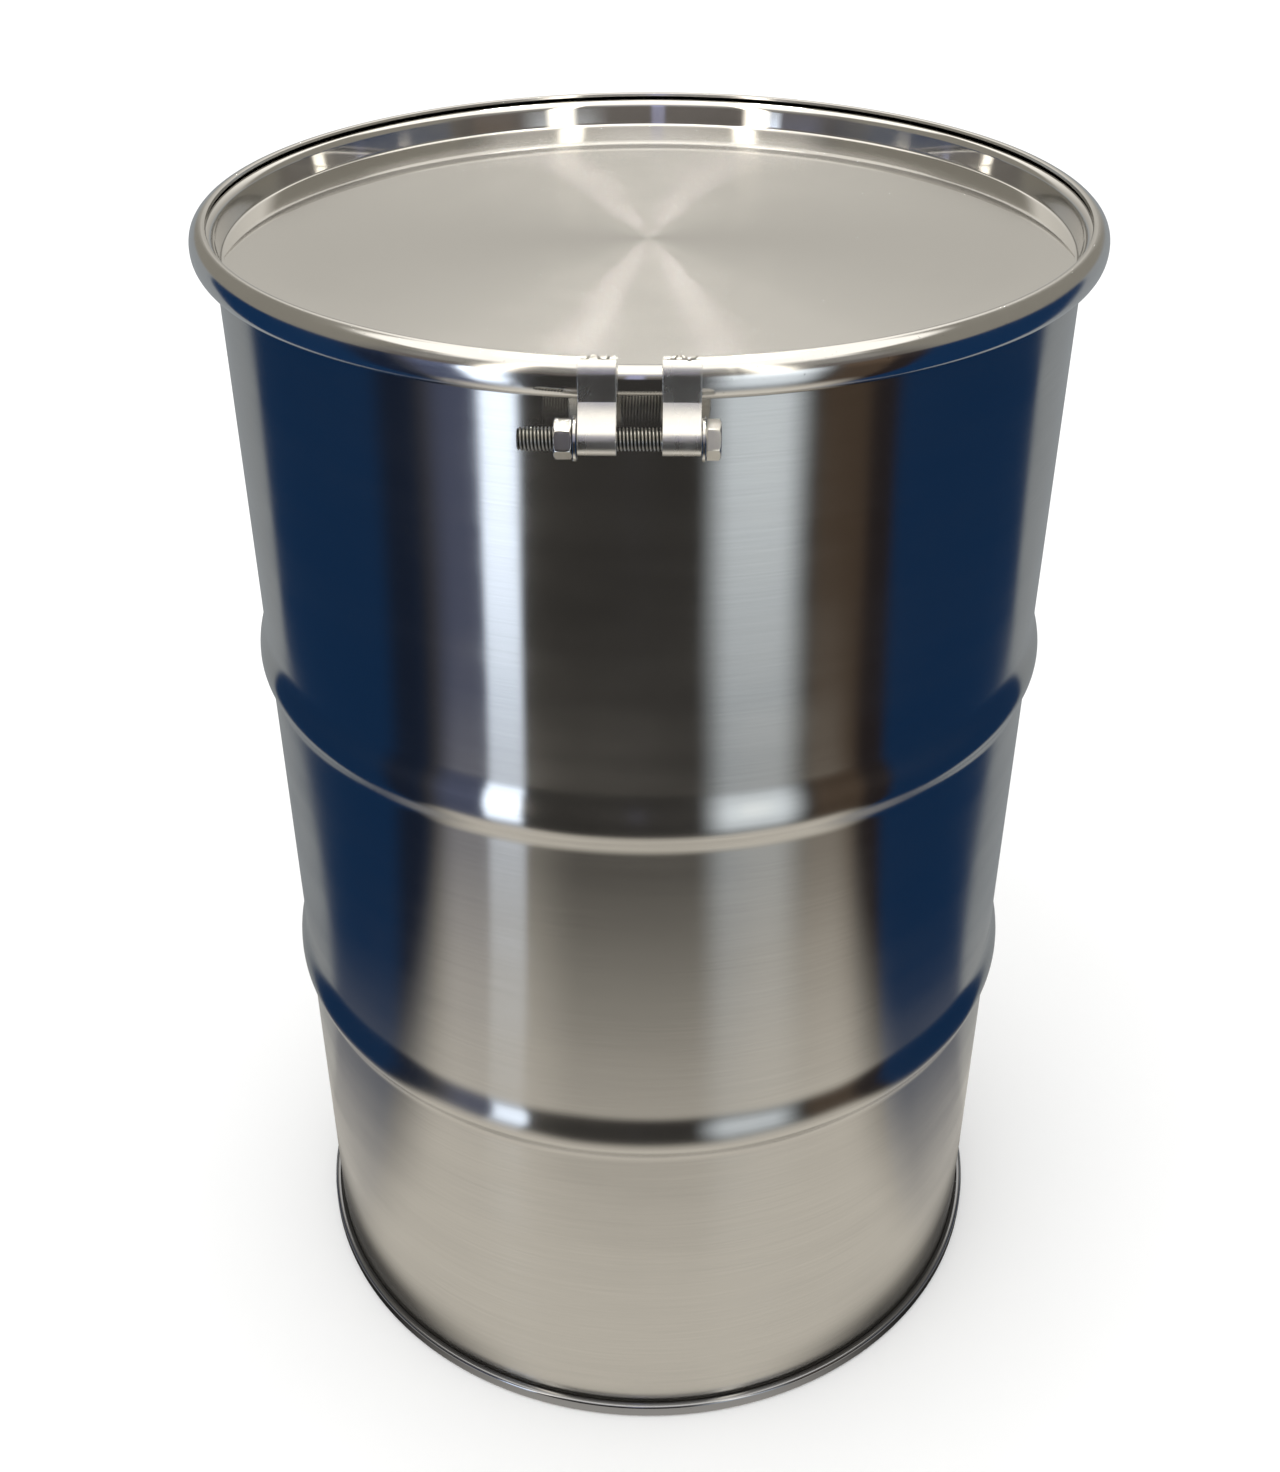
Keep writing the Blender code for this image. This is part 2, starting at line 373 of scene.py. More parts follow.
class Wiring:
    """Places and joins the nodes of one shader tree."""

    def __init__(self, tree: bpy.types.NodeTree) -> None:
        """Keep the tree."""
        self.tree = tree

    def node(self, kind: str, **settings: object) -> bpy.types.Node:
        """Add a node.

        Args:
            kind: The node's type without its "ShaderNode" prefix.
            **settings: Properties of the node.

        Returns:
            The node.
        """
        made = self.tree.nodes.new("ShaderNode" + kind)
        for key, value in settings.items():
            setattr(made, key, value)
        return made

    def feed(self, socket: Socket, source: Source) -> None:
        """Join a socket to a source, or set it to a constant.

        Args:
            socket: The socket to feed.
            source: Another node's output, or a number, vector or colour.
        """
        if isinstance(source, bpy.types.NodeSocket):
            self.tree.links.new(source, socket)
        elif isinstance(source, (int, float)):
            socket.default_value = source
        else:
            socket.default_value = (*source, 1.0) if socket.type == "RGBA" else tuple(source)

    def joined(self, made: bpy.types.Node, *sources: Source) -> bpy.types.Node:
        """Feed a node's first inputs in order.

        Args:
            made: The node.
            *sources: What each input gets.

        Returns:
            The same node.
        """
        for socket, source in zip(made.inputs, sources):
            self.feed(socket, source)
        return made

    def math(self, operation: str, first: Source, second: Source = 0.0, third: Source = 0.0,
             clamp: bool = False) -> Socket:
        """One arithmetic step.

        Args:
            operation: Name of the operation.
            first: First value.
            second: Second value.
            third: Third value.
            clamp: True to keep the result within 0 and 1.

        Returns:
            The result.
        """
        made = self.node("Math", operation=operation, use_clamp=clamp)
        return self.joined(made, first, second, third).outputs[0]

    def times(self, first: Source, second: Source) -> Socket:
        """The product of two values."""
        return self.math("MULTIPLY", first, second)

    def plus(self, first: Source, second: Source, clamp: bool = False) -> Socket:
        """The sum of two values, kept within 0 and 1 if clamp is set."""
        return self.math("ADD", first, second, clamp=clamp)

    def minus(self, first: Source, second: Source) -> Socket:
        """The difference of two values."""
        return self.math("SUBTRACT", first, second)

    def apart(self, first: Source, second: Source) -> Socket:
        """How far two values are apart."""
        return self.math("ABSOLUTE", self.minus(first, second))

    def length(self, x: Source, y: Source) -> Socket:
        """Length of a flat vector."""
        return self.math("SQRT", self.plus(self.times(x, x), self.times(y, y)))

    def combine(self, x: Source, y: Source, z: Source) -> Socket:
        """A vector from three values."""
        return self.joined(self.node("CombineXYZ"), x, y, z).outputs[0]

    def separate(self, vector: Source) -> Sequence[Socket]:
        """The three values of a vector."""
        return tuple(self.joined(self.node("SeparateXYZ"), vector).outputs)

    def scaled(self, vector: Source, by: Source) -> Socket:
        """A vector multiplied by another."""
        return self.joined(self.node("VectorMath", operation="MULTIPLY"), vector, by).outputs[0]

    def grown(self, vector: Source, by: Source) -> Socket:
        """A vector multiplied by one value."""
        return self.scaled(vector, self.combine(by, by, by))

    def ramp(self, value: Source, low: Source, high: Source, start: Source = 0.0,
             end: Source = 1.0) -> Socket:
        """A smooth step.

        Args:
            value: What is measured.
            low: Where the step begins.
            high: Where it ends.
            start: Result below low.
            end: Result above high.

        Returns:
            The result.
        """
        made = self.node("MapRange", interpolation_type="SMOOTHSTEP")
        return self.joined(made, value, low, high, start, end).outputs[0]

    def fall(self, value: Source, low: Source, high: Source) -> Socket:
        """A smooth step down, from 1 to 0."""
        return self.ramp(value, low, high, 1.0, 0.0)

    def blend(self, share: Source, first: Source, second: Source) -> Socket:
        """A colour between two others.

        Args:
            share: How much of the second colour there is.
            first: First colour.
            second: Second colour.

        Returns:
            The colour.
        """
        made = self.joined(self.node("Mix", data_type="RGBA"), share)
        self.feed(made.inputs[6], first)
        self.feed(made.inputs[7], second)
        return made.outputs[2]

    def noise(self, vector: Source, scale: float, detail: float = 2.0, roughness: float = 0.5) -> Socket:
        """Noise around 0.5.

        Args:
            vector: Where it is read.
            scale: Features for each unit.
            detail: Number of finer layers.
            roughness: Strength of the finer layers.

        Returns:
            The noise.
        """
        made = self.node("TexNoise")
        self.feed(made.inputs["Vector"], vector)
        for key, value in (("Scale", scale), ("Detail", detail), ("Roughness", roughness)):
            made.inputs[key].default_value = value
        return made.outputs[0]

    def relief(self, shader: bpy.types.Node, height: Source, strength: float, depth: float) -> None:
        """Give a shader a relief.

        Args:
            shader: The shader.
            height: Height of the surface.
            strength: How strongly it shows.
            depth: Depth of the deepest mark, in metres.
        """
        bump = self.node("Bump")
        for key, source in (("Strength", strength), ("Distance", depth), ("Height", height)):
            self.feed(bump.inputs[key], source)
        self.feed(shader.inputs["Normal"], bump.outputs[0])

    def effect(self, group: "EffectGroup", **inputs: Source) -> bpy.types.NodeOutputs:
        """Place an effect.

        Args:
            group: The effect.
            **inputs: Its inputs, with an underscore for each space in a name.

        Returns:
            The effect's outputs.
        """
        made = self.node("Group", node_tree=group.tree())
        for key, source in inputs.items():
            self.feed(made.inputs[key.replace("_", " ")], source)
        return made.outputs


class EffectGroup:
    """A shader effect shared by several finishes, built the first time it is used.

    Each one reads a vector, and its other inputs are values with defaults.
    """

    name = "effect"
    values: dict[str, float] = {}
    outputs: dict[str, str] = {}

    def tree(self) -> bpy.types.NodeTree:
        """The node group, made on the first call."""
        made = bpy.data.node_groups.get(self.name)
        if made is None:
            made = bpy.data.node_groups.new(self.name, "ShaderNodeTree")
            made.interface.new_socket(name="Vector", in_out="INPUT", socket_type=VECTOR)
            for label, default in self.values.items():
                socket = made.interface.new_socket(name=label, in_out="INPUT", socket_type=VALUE)
                socket.default_value = default
            for label, kind in self.outputs.items():
                made.interface.new_socket(name=label, in_out="OUTPUT", socket_type=kind)
            w = Wiring(made)
            results = self.wire(w, made.nodes.new("NodeGroupInput").outputs)
            leave = made.nodes.new("NodeGroupOutput")
            for label, source in results.items():
                w.feed(leave.inputs[label], source)
        return made

    def wire(self, w: Wiring, given: bpy.types.NodeOutputs) -> dict[str, Socket]:
        """Fill the group.

        Args:
            w: Wiring of the group's tree.
            given: The group's inputs.

        Returns:
            What each output gets.
        """
        raise NotImplementedError


class TurnedSurface(EffectGroup):
    """Coordinates that run round the drum and across its skin, with no seam."""

    name = "Turned surface"
    values = {"Axis Y": 0.0, "Around": 8.0, "Across": 1000.0}
    outputs = {"Grain": VECTOR, "Radius": VALUE}
    least_radius = 0.0005                  # metres, so that nothing divides by zero

    def wire(self, w: Wiring, given: bpy.types.NodeOutputs) -> dict[str, Socket]:
        """Fill the group.

        Args:
            w: Wiring of the group's tree.
            given: The group's inputs.

        Returns:
            What each output gets.
        """
        x, y, z = w.separate(given["Vector"])
        depth = w.minus(y, given["Axis Y"])
        radius = w.math("MAXIMUM", w.length(x, depth), self.least_radius)
        east, north = (w.times(w.math("DIVIDE", side, radius), given["Around"]) for side in (x, depth))
        across = w.times(w.plus(radius, z), given["Across"])
        return {"Grain": w.combine(east, north, across), "Radius": radius}


class BrushedGrain(EffectGroup):
    """Fine abrasive lines in three widths."""

    name = "Brushed grain"
    outputs = {"Fine": VALUE, "Broad": VALUE}
    coarse_stretch = (0.7, 0.7, 0.8)
    broad_stretch = (0.3, 0.3, 0.035)

    def wire(self, w: Wiring, given: bpy.types.NodeOutputs) -> dict[str, Socket]:
        """Fill the group.

        Args:
            w: Wiring of the group's tree.
            given: The group's inputs.

        Returns:
            What each output gets.
        """
        vector = given["Vector"]
        fine = w.noise(vector, 1.0, detail=4.0, roughness=0.7)
        coarse = w.noise(w.scaled(vector, self.coarse_stretch), 1.0)
        broad = w.noise(w.scaled(vector, self.broad_stretch), 1.0)
        mixed = w.plus(w.times(fine, 0.6), w.times(coarse, 0.4), clamp=True)
        return {"Fine": mixed, "Broad": w.ramp(broad, 0.3, 0.7)}


class HandlingMarks(EffectGroup):
    """Wiping smears, hairline scratches and small nicks."""

    name = "Handling marks"
    values = {"Scale": 1.0}
    outputs = {"Smear": VALUE, "Scratch": VALUE, "Nick": VALUE}
    smear_scale = 7.0
    scratch_turn = (0.5, 0.9, 0.35)        # radians
    scratch_stretch = (12.0, 12.0, 620.0)
    patch_scale = 19.0                     # where the scratches gather
    nick_scale = 420.0

    def wire(self, w: Wiring, given: bpy.types.NodeOutputs) -> dict[str, Socket]:
        """Fill the group.

        Args:
            w: Wiring of the group's tree.
            given: The group's inputs.

        Returns:
            What each output gets.
        """
        place = w.grown(given["Vector"], given["Scale"])
        smear = w.ramp(w.noise(place, self.smear_scale, detail=4.0, roughness=0.55), 0.38, 0.68)
        turned = w.node("VectorRotate", rotation_type="EULER_XYZ")
        w.feed(turned.inputs["Vector"], place)
        turned.inputs["Rotation"].default_value = self.scratch_turn
        lines = w.noise(w.scaled(turned.outputs[0], self.scratch_stretch), 1.0, detail=1.0)
        patches = w.ramp(w.noise(place, self.patch_scale), 0.52, 0.62)
        scratch = w.times(w.ramp(lines, 0.70, 0.76), patches)
        nick = w.ramp(w.noise(place, self.nick_scale, detail=1.0), 0.73, 0.79)
        return {"Smear": smear, "Scratch": scratch, "Nick": nick}


class ThreadRoots(EffectGroup):
    """How deep a point lies between the crests and the roots of the bolt's thread: the mask of the painted
    shade in its roots.
    """

    name = "Thread roots"
    values = {"Axis Y": 0.0, "Axis Z": 0.0, "Crest": 0.006, "Root": 0.005}
    outputs = {"Depth": VALUE}

    def wire(self, w: Wiring, given: bpy.types.NodeOutputs) -> dict[str, Socket]:
        """Fill the group.

        Args:
            w: Wiring of the group's tree.
            given: The group's inputs.

        Returns:
            What each output gets.
        """
        _, y, z = w.separate(given["Vector"])
        radius = w.length(w.minus(y, given["Axis Y"]), w.minus(z, given["Axis Z"]))
        return {"Depth": w.fall(radius, given["Root"], given["Crest"])}


class Grain(Enum):
    """Which way a steel surface was worked."""

    ROUND_THE_DRUM = "round the drum"
    ALONG_THE_BOLT = "along the bolt"


@dataclass(frozen=True)
class Finish:
    """What every finish shares: its material is made the first time it is asked for."""

    name: str

    def material(self) -> bpy.types.Material:
        """The finish's material, made on the first call."""
        made = bpy.data.materials.get(self.name)
        if made is None:
            made = bpy.data.materials.new(self.name)
            made.use_nodes = True
            self.wire(Wiring(made.node_tree), made.node_tree.nodes["Principled BSDF"])
        return made

    def wire(self, w: Wiring, shader: bpy.types.Node) -> None:
        """Fill the material.

        Args:
            w: Wiring of the material.
            shader: Its Principled BSDF.
        """
        raise NotImplementedError


@dataclass(frozen=True)
class SteelFinish(Finish):
    """Bare worked steel: brushing, wiping smears and small marks."""

    tint: Colour
    roughness: float
    anisotropy: float = 0.0
    grain: Grain = Grain.ROUND_THE_DRUM
    around: float = 9.0            # grain features round the drum, to the radius
    across: float = 900.0          # grain features across it, to the metre
    line_depth: float = 0.03       # strength of the brushed relief
    line_shade: float = 0.12       # how much darker the deepest lines are
    smear: float = 0.03            # roughness added by wiping smears
    scratches: float = 0.3
    nicks: float = 0.0
    mark_scale: float = 1.0
    bright_rim: Optional[tuple[float, float]] = None    # radii, in metres, over which it turns smoother
    rim_share: float = 0.45        # roughness left outside the bright rim's radii
    thread: Optional[tuple[float, float]] = None    # crest and root radius of a thread, in millimetres, between which painted shade darkens it
    gloss: float = 0.0             # share of a sharp mirror layer over the worked grain
    gloss_index: float = 2.0
    gloss_roughness: float = 0.05
    line_tint: float = 0.25        # tint of the deepest lines and nicks, to the steel's own
    painted_root_shade: float = 0.09        # painted shade in a thread's roots, as a tint of the steel's own
    relief_depth: float = 0.0002   # metres

    def tinted(self, share: float) -> Colour:
        """A darker tint of the same steel."""
        return tuple(c * share for c in self.tint)

    def wire(self, w: Wiring, shader: bpy.types.Node) -> None:
        """Fill the material.

        Args:
            w: Wiring of the material.
            shader: Its Principled BSDF.
        """
        for key, value in (("Metallic", 1.0), ("Anisotropic", self.anisotropy), ("Coat Weight", self.gloss),
                           ("Coat Roughness", self.gloss_roughness), ("Coat IOR", self.gloss_index)):
            shader.inputs[key].default_value = value
        place = w.node("TexCoord").outputs["Object"]
        if self.grain is Grain.ROUND_THE_DRUM:
            turned = w.effect(TurnedSurface(), Vector=place, Axis_Y=AXIS_Y, Around=self.around,
                              Across=self.across)
            vector = turned["Grain"]
        else:
            vector = w.scaled(place, (self.across, self.around * 10, self.around * 10))
        brushed = w.effect(BrushedGrain(), Vector=vector)
        marks = w.effect(HandlingMarks(), Vector=place, Scale=self.mark_scale)
        lines = w.times(w.minus(1.0, brushed["Fine"]), self.line_shade)
        shade = w.plus(lines, w.times(marks["Nick"], self.nicks), clamp=True)
        colour = w.blend(shade, self.tint, self.tinted(self.line_tint))
        # Painted shade: the thread's roots are darkened towards a near-black tint.
        if self.thread:
            roots = w.effect(ThreadRoots(), Vector=place, Axis_Y=BOLT_AXIS.y, Axis_Z=BOLT_AXIS.z,
                             Crest=self.thread[0] * MM, Root=self.thread[1] * MM)
            colour = w.blend(roots["Depth"], colour, self.tinted(self.painted_root_shade))
        w.feed(shader.inputs["Base Color"], colour)
        rough = w.math("MULTIPLY_ADD", brushed["Broad"], self.smear, self.roughness - self.smear / 2)
        rough = w.math("MULTIPLY_ADD", marks["Smear"], self.smear, rough)
        rough = w.math("MULTIPLY_ADD", marks["Scratch"], self.scratches * 0.2, rough, clamp=True)
        if self.bright_rim:
            inner, outer = self.bright_rim
            rough = w.times(rough, w.ramp(turned["Radius"], inner, outer, 1.0, self.rim_share))
        w.feed(shader.inputs["Roughness"], rough)
        relief = w.minus(brushed["Fine"], w.times(marks["Scratch"], self.scratches))
        relief = w.minus(relief, w.times(marks["Nick"], self.nicks * 4))
        w.relief(shader, relief, self.line_depth, self.relief_depth)
        if self.anisotropy:
            tangent = w.node("Tangent", direction_type="UV_MAP", uv_map="UVMap")
            w.feed(shader.inputs["Tangent"], tangent.outputs[0])


@dataclass(frozen=True)
class SoftFinish(Finish):
    """Rubber or sealant: dark, matt and slightly mottled."""

    light: Colour
    dark: Colour
    roughness: float
    mottle: float = 160.0
    mark_scale: float = 3.0
    relief_depth: float = 0.0003   # metres

    def wire(self, w: Wiring, shader: bpy.types.Node) -> None:
        """Fill the material.

        Args:
            w: Wiring of the material.
            shader: Its Principled BSDF.
        """
        place = w.node("TexCoord").outputs["Object"]
        marks = w.effect(HandlingMarks(), Vector=place, Scale=self.mark_scale)
        grain = w.noise(place, self.mottle, detail=5.0, roughness=0.6)
        share = w.plus(w.times(grain, 0.6), w.times(marks["Smear"], 0.4))
        w.feed(shader.inputs["Base Color"], w.blend(share, self.dark, self.light))
        w.feed(shader.inputs["Roughness"], w.math("MULTIPLY_ADD", grain, 0.2, self.roughness - 0.1))
        w.relief(shader, grain, 0.25, self.relief_depth)


@dataclass(frozen=True)
class PaperFinish(Finish):
    """Matt studio paper."""

    light: Colour
    dark: Colour

    def wire(self, w: Wiring, shader: bpy.types.Node) -> None:
        """Fill the material.

        Args:
            w: Wiring of the material.
            shader: Its Principled BSDF.
        """
        grain = w.noise(w.node("TexCoord").outputs["Object"], 3.0, detail=3.0)
        w.feed(shader.inputs["Base Color"], w.blend(grain, self.dark, self.light))
        shader.inputs["Roughness"].default_value = 0.9
        shader.inputs["Specular IOR Level"].default_value = 0.0


BODY_STEEL = SteelFinish("Brushed body sheet", (0.66, 0.645, 0.615), roughness=0.14, anisotropy=1.0,
                         around=4.0, line_shade=0.26, scratches=0.05)
# The chime's steel is tinted far darker than the body's: painted shade on the bottom head.
SHADED_CHIME_STEEL = SteelFinish("Folded chime sheet with painted shade", (0.34, 0.345, 0.365), roughness=0.11, anisotropy=0.6,
                          around=6.0, line_shade=0.16, scratches=0.1, nicks=0.2)
LID_STEEL = SteelFinish("Spun lid sheet", (0.72, 0.70, 0.665), roughness=0.20, anisotropy=1.0,
                        around=10.0, line_depth=0.02, line_shade=0.08, scratches=0.03,
                        bright_rim=(0.235, 0.272), gloss=1.0, gloss_index=3.3, gloss_roughness=0.03)
RING_STEEL = SteelFinish("Polished ring band", (0.80, 0.785, 0.76), roughness=0.13, anisotropy=0.5,
                         around=20.0, line_depth=0.05, line_shade=0.14, smear=0.06, nicks=0.4,
                         mark_scale=1.6)
LUG_STEEL = SteelFinish("Worn lug strap", (0.84, 0.825, 0.80), roughness=0.24, grain=Grain.ALONG_THE_BOLT,
                        around=14.0, across=260.0, line_depth=0.06, line_shade=0.10, smear=0.06,
                        scratches=0.2, nicks=0.2, mark_scale=2.2)
BOLT_STEEL = SteelFinish("Rolled bolt steel", (0.80, 0.785, 0.75), roughness=0.15,
                         grain=Grain.ALONG_THE_BOLT, around=30.0, across=700.0, line_depth=0.04,
                         smear=0.08, nicks=0.2, mark_scale=3.0)
# Its thread radii mark where painted shade darkens the roots.
THREAD_STEEL = replace(BOLT_STEEL, name="Rolled thread steel", tint=(0.86, 0.84, 0.79), roughness=0.30,
                       thread=(6.15, 5.45))
WELD_STEEL = SteelFinish("Weld metal", (0.84, 0.82, 0.78), roughness=0.18, grain=Grain.ALONG_THE_BOLT,
                         around=40.0, across=500.0, line_depth=0.12, line_shade=0.20, smear=0.10,
                         nicks=0.4, mark_scale=4.0)
GASKET = SoftFinish("Gasket rubber", (0.045, 0.045, 0.047), (0.018, 0.018, 0.019), 0.62)
SEALANT = SoftFinish("Seam sealant", (0.045, 0.042, 0.038), (0.022, 0.021, 0.019), 0.70)
PAPER = PaperFinish("Pale paper floor", (0.96, 0.96, 0.955), (0.93, 0.93, 0.925))


def fit(piece: bpy.types.Object, finish: Finish, body: str,
        stands_for: Sequence[str] = ()) -> None:
    """Dress a piece and put it on its body.

    Args:
        piece: The piece, already in place.
        finish: Its finish.
        body: Name of the body it rides on.
        stands_for: The frame nodes it replaces.
    """
    piece.data.materials.clear()
    piece.data.materials.append(finish.material())
    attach(piece, body)
    if stands_for:
        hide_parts(*stands_for)
    log.info("%s rides on %s: %d faces", piece.name, body, len(piece.data.polygons))


# ---------------------------------------------------------------- the drum's pieces

FULL_TURN = even_angles(math.pi / 2, 2 * math.pi, 288)


@dataclass(frozen=True)
class DrumBody:
    """Wall with its two hoops and rolled bead, the folded bottom head and the sealant in the fold."""

    radius: float = 287.0
    sheet: float = 1.2
    gap: float = 0.3
    hoops: tuple[float, float] = (308.4, 586.7)
    hoop_proud: float = 5.8
    hoop_rise: float = 29.0        # from the crest up to the plain wall
    hoop_fall: float = 21.0        # from the plain wall up to the crest
    bead_radius: float = 4.8
    bead_height: float = 884.0
    chime_radius: float = 294.0
    chime_height: float = 11.8
    panel_height: float = 13.0
    waviness: float = 0.22         # how far the sheet wanders from round
    seam_width: float = 1.6
    seam_proud: float = 0.25
    flange_top: float = 9.5
    flange_bend: float = 1.5
    foot_bend: float = 1.8         # where the wall turns out into its flange
    fold_bend: float = 2.0         # bends of the bottom head round the flange
    seam_gap: float = 2.5          # open line between the wall and the fold
    even_foot: float = 20.0        # the sheet is even below this height
    even_head: float = 865.0       # and above this one
    even_run: float = 60.0         # how far the unevenness takes to grow

    @property
    def wall(self) -> float:
        """Radius of the wall's mid-line."""
        return self.radius - self.sheet / 2

    @property
    def hook(self) -> float:
        """Radius of the bottom flange's mid-line."""
        return self.chime_radius - 1.5 * self.sheet - 2 * self.gap

    def hoop(self, height: float, steps: int = 26) -> list[Point]:
        """Mid-line of one rolled hoop, from below.

        Args:
            height: Height of its crest.
            steps: Number of chords.

        Returns:
            The points.
        """
        points = []
        for i in range(steps + 1):
            t = 2 * i / steps - 1
            reach = self.hoop_rise if t > 0 else self.hoop_fall
            swell = ((1 + math.cos(math.pi * t)) / 2) ** 1.25
            points.append((self.wall + self.hoop_proud * swell, height + t * reach))
        return points

    def wander(self, angle: float, radius: float, height: float) -> Point:
        """Slight unevenness of rolled sheet, and the raised line of the side seam at the back.

        Args:
            angle: Angle round the drum.
            radius: The even radius.
            height: The height.

        Returns:
            The radius and height there.
        """
        east, north = math.cos(angle), math.sin(angle)
        inside = min(height - self.even_foot, self.even_head - height)
        share = min(1.0, max(0.0, inside / self.even_run))
        slow = noise.noise(Vector((east * 2.1, north * 2.1, height / 260)))
        quick = noise.noise(Vector((east * 7.0, north * 7.0, height / 110 + 9)))
        moved = share * self.waviness * (slow + 0.35 * quick - 0.4)
        across = (angle - math.pi / 2 + math.pi) % (2 * math.pi) - math.pi
        seam = self.seam_proud * math.exp(-(across * self.radius / self.seam_width) ** 2)
        return radius + moved + min(1.0, share * 4) * seam, height

    def make_shell(self) -> bpy.types.Object:
        """The wall, from its bottom flange to its rolled bead."""
        half = self.sheet / 2
        low = self.sheet + self.gap + half
        bend, foot = self.flange_bend, self.foot_bend
        path = [(self.hook, self.flange_top), (self.hook, low + bend)]
        path += arc((self.hook - bend, low + bend), bend, 0, -90, 5)[1:]
        path += [(self.wall + foot, low)] + arc((self.wall + foot, low + foot), foot, 270, 180, 5)[1:]
        for height in self.hoops:
            path += self.hoop(height)
        bead = arc((self.wall + self.bead_radius, self.bead_height), self.bead_radius, 180, -120, 30)
        outline = thicken(refine(path + bead, 14.0), half)
        angles = even_angles(math.pi / 2, 2 * math.pi, 288, (math.pi / 2, math.pi * 2.5), 0.0025)
        return sweep("body_shell", round_corners(outline, 0.3), angles, self.wander)

    def make_bottom(self) -> bpy.types.Object:
        """The recessed bottom head, folded round the wall's flange."""
        half = self.sheet / 2
        bend = self.fold_bend
        recess = self.wall - self.sheet - self.gap
        fold = self.chime_radius - half - bend
        path = [(0.0, self.panel_height - 0.6), (60.0, self.panel_height - 0.5),
                (recess - 40, self.panel_height - 0.1), (recess - 5, self.panel_height)]
        path += arc((recess - 4, self.panel_height - 4), 4, 80, 0, 8)
        path += arc((recess + bend, half + bend), bend, 180, 270, 6)
        path += arc((fold, half + bend), bend, 270, 360, 8)
        path += arc((fold, self.chime_height - half - bend), bend, 0, 90, 8)
        path += [(self.radius + self.seam_gap, self.chime_height - half)]
        path = refine(path[:4], 20.0) + path[4:]
        outline = thicken(path, half, from_axis=True)
        return sweep("bottom_head_panel", round_corners(outline, 0.25, closed=False), FULL_TURN)

    def make_sealant(self) -> bpy.types.Object:
        """The sealant inside the folded bottom seam."""
        half = self.sheet / 2
        inner, outer = self.radius + self.gap, self.hook - half - self.gap
        low, high = self.sheet + self.gap + 2 * half + 2.0, self.chime_height - self.sheet - self.gap
        outline = round_corners([(inner, low), (outer, low), (outer, high), (inner, high)], 0.5)
        return sweep("seam_sealant", outline, FULL_TURN)

    def build(self) -> None:
        """Make and fit every piece of the body."""
        fit(self.make_shell(), BODY_STEEL, "drum", ["shell"])
        fit(self.make_bottom(), SHADED_CHIME_STEEL, "drum", ["bottom_head"])
        fit(self.make_sealant(), SEALANT, "drum", ["seam_compound"])


@dataclass(frozen=True)
class DrumLid:
    """Recessed lid with a plug wall and a curled rim, and the gasket in its curl."""

    wall: float = 286.4            # mid-line of the body's wall
    sheet: float = 1.2
    gap: float = 0.3
    bead_height: float = 884.0
    bead_radius: float = 4.8
    floor: float = 876.2
    dish: float = 4.8              # how far the centre lies below the floor's edge
    dish_radius: float = 280.0
    curl_reach: float = 11.2       # how far the curl's skirt stands outside the wall
    curl_radius: float = 6.5

    @property
    def crown(self) -> float:
        """Radius of the rim's highest line."""
        return self.wall + 5.1

    def make_cover(self) -> bpy.types.Object:
        """The lid itself, from its centre to the lip of its curl."""
        foot, top = self.wall - 2.9, self.wall - 0.7
        skirt = self.wall + self.curl_reach
        shares = (0.0, 0.004, 0.012, 0.03, 0.06, 0.1, 0.16, 0.24, 0.33, 0.42, 0.52, 0.62, 0.72, 0.8, 0.87,
                  0.92, 0.96, 0.985)
        path = [(self.dish_radius * s, self.floor - self.dish * (1 - s * s)) for s in shares]
        path += [(foot - 2.6, self.floor)]
        path += arc((foot - 2.0, self.floor + 2.0), 2.0, 285, 350, 8)
        path += [(foot + 0.2, self.floor + 3.0)]
        path += arc((self.crown, self.bead_height + 4.8), self.crown - top, 172, 90, 20)
        path += arc((skirt - self.curl_radius, self.bead_height + 4.1), self.curl_radius, 90, 0, 14)[1:]
        path += [(skirt, self.bead_height - 0.8)]
        outline = thicken(path, self.sheet / 2, from_axis=True)
        return sweep("lid_cover", round_corners(outline, 0.25, closed=False), FULL_TURN)

    def make_gasket(self) -> bpy.types.Object:
        """The rubber seal that lies on the bead inside the lid's curl."""
        seat = self.bead_height + self.bead_radius + self.sheet / 2 + self.gap
        outline = [(self.crown - 3.6, seat), (self.crown + 5.8, seat), (self.crown + 5.3, seat + 2.5),
                   (self.crown + 2.7, seat + 4.2), (self.crown - 0.8, seat + 4.2),
                   (self.crown - 2.5, seat + 2.9)]
        return sweep("lid_seal", round_corners(outline, 0.8, steps=4), FULL_TURN)

    def build(self) -> None:
        """Make and fit every piece of the lid."""
        fit(self.make_cover(), LID_STEEL, "lid", ["lid"])
        fit(self.make_gasket(), GASKET, "lid", ["lid_gasket"])


class Side(Enum):
    """Left or right of the closure, as the sign of X."""

    LEFT = -1
    RIGHT = 1


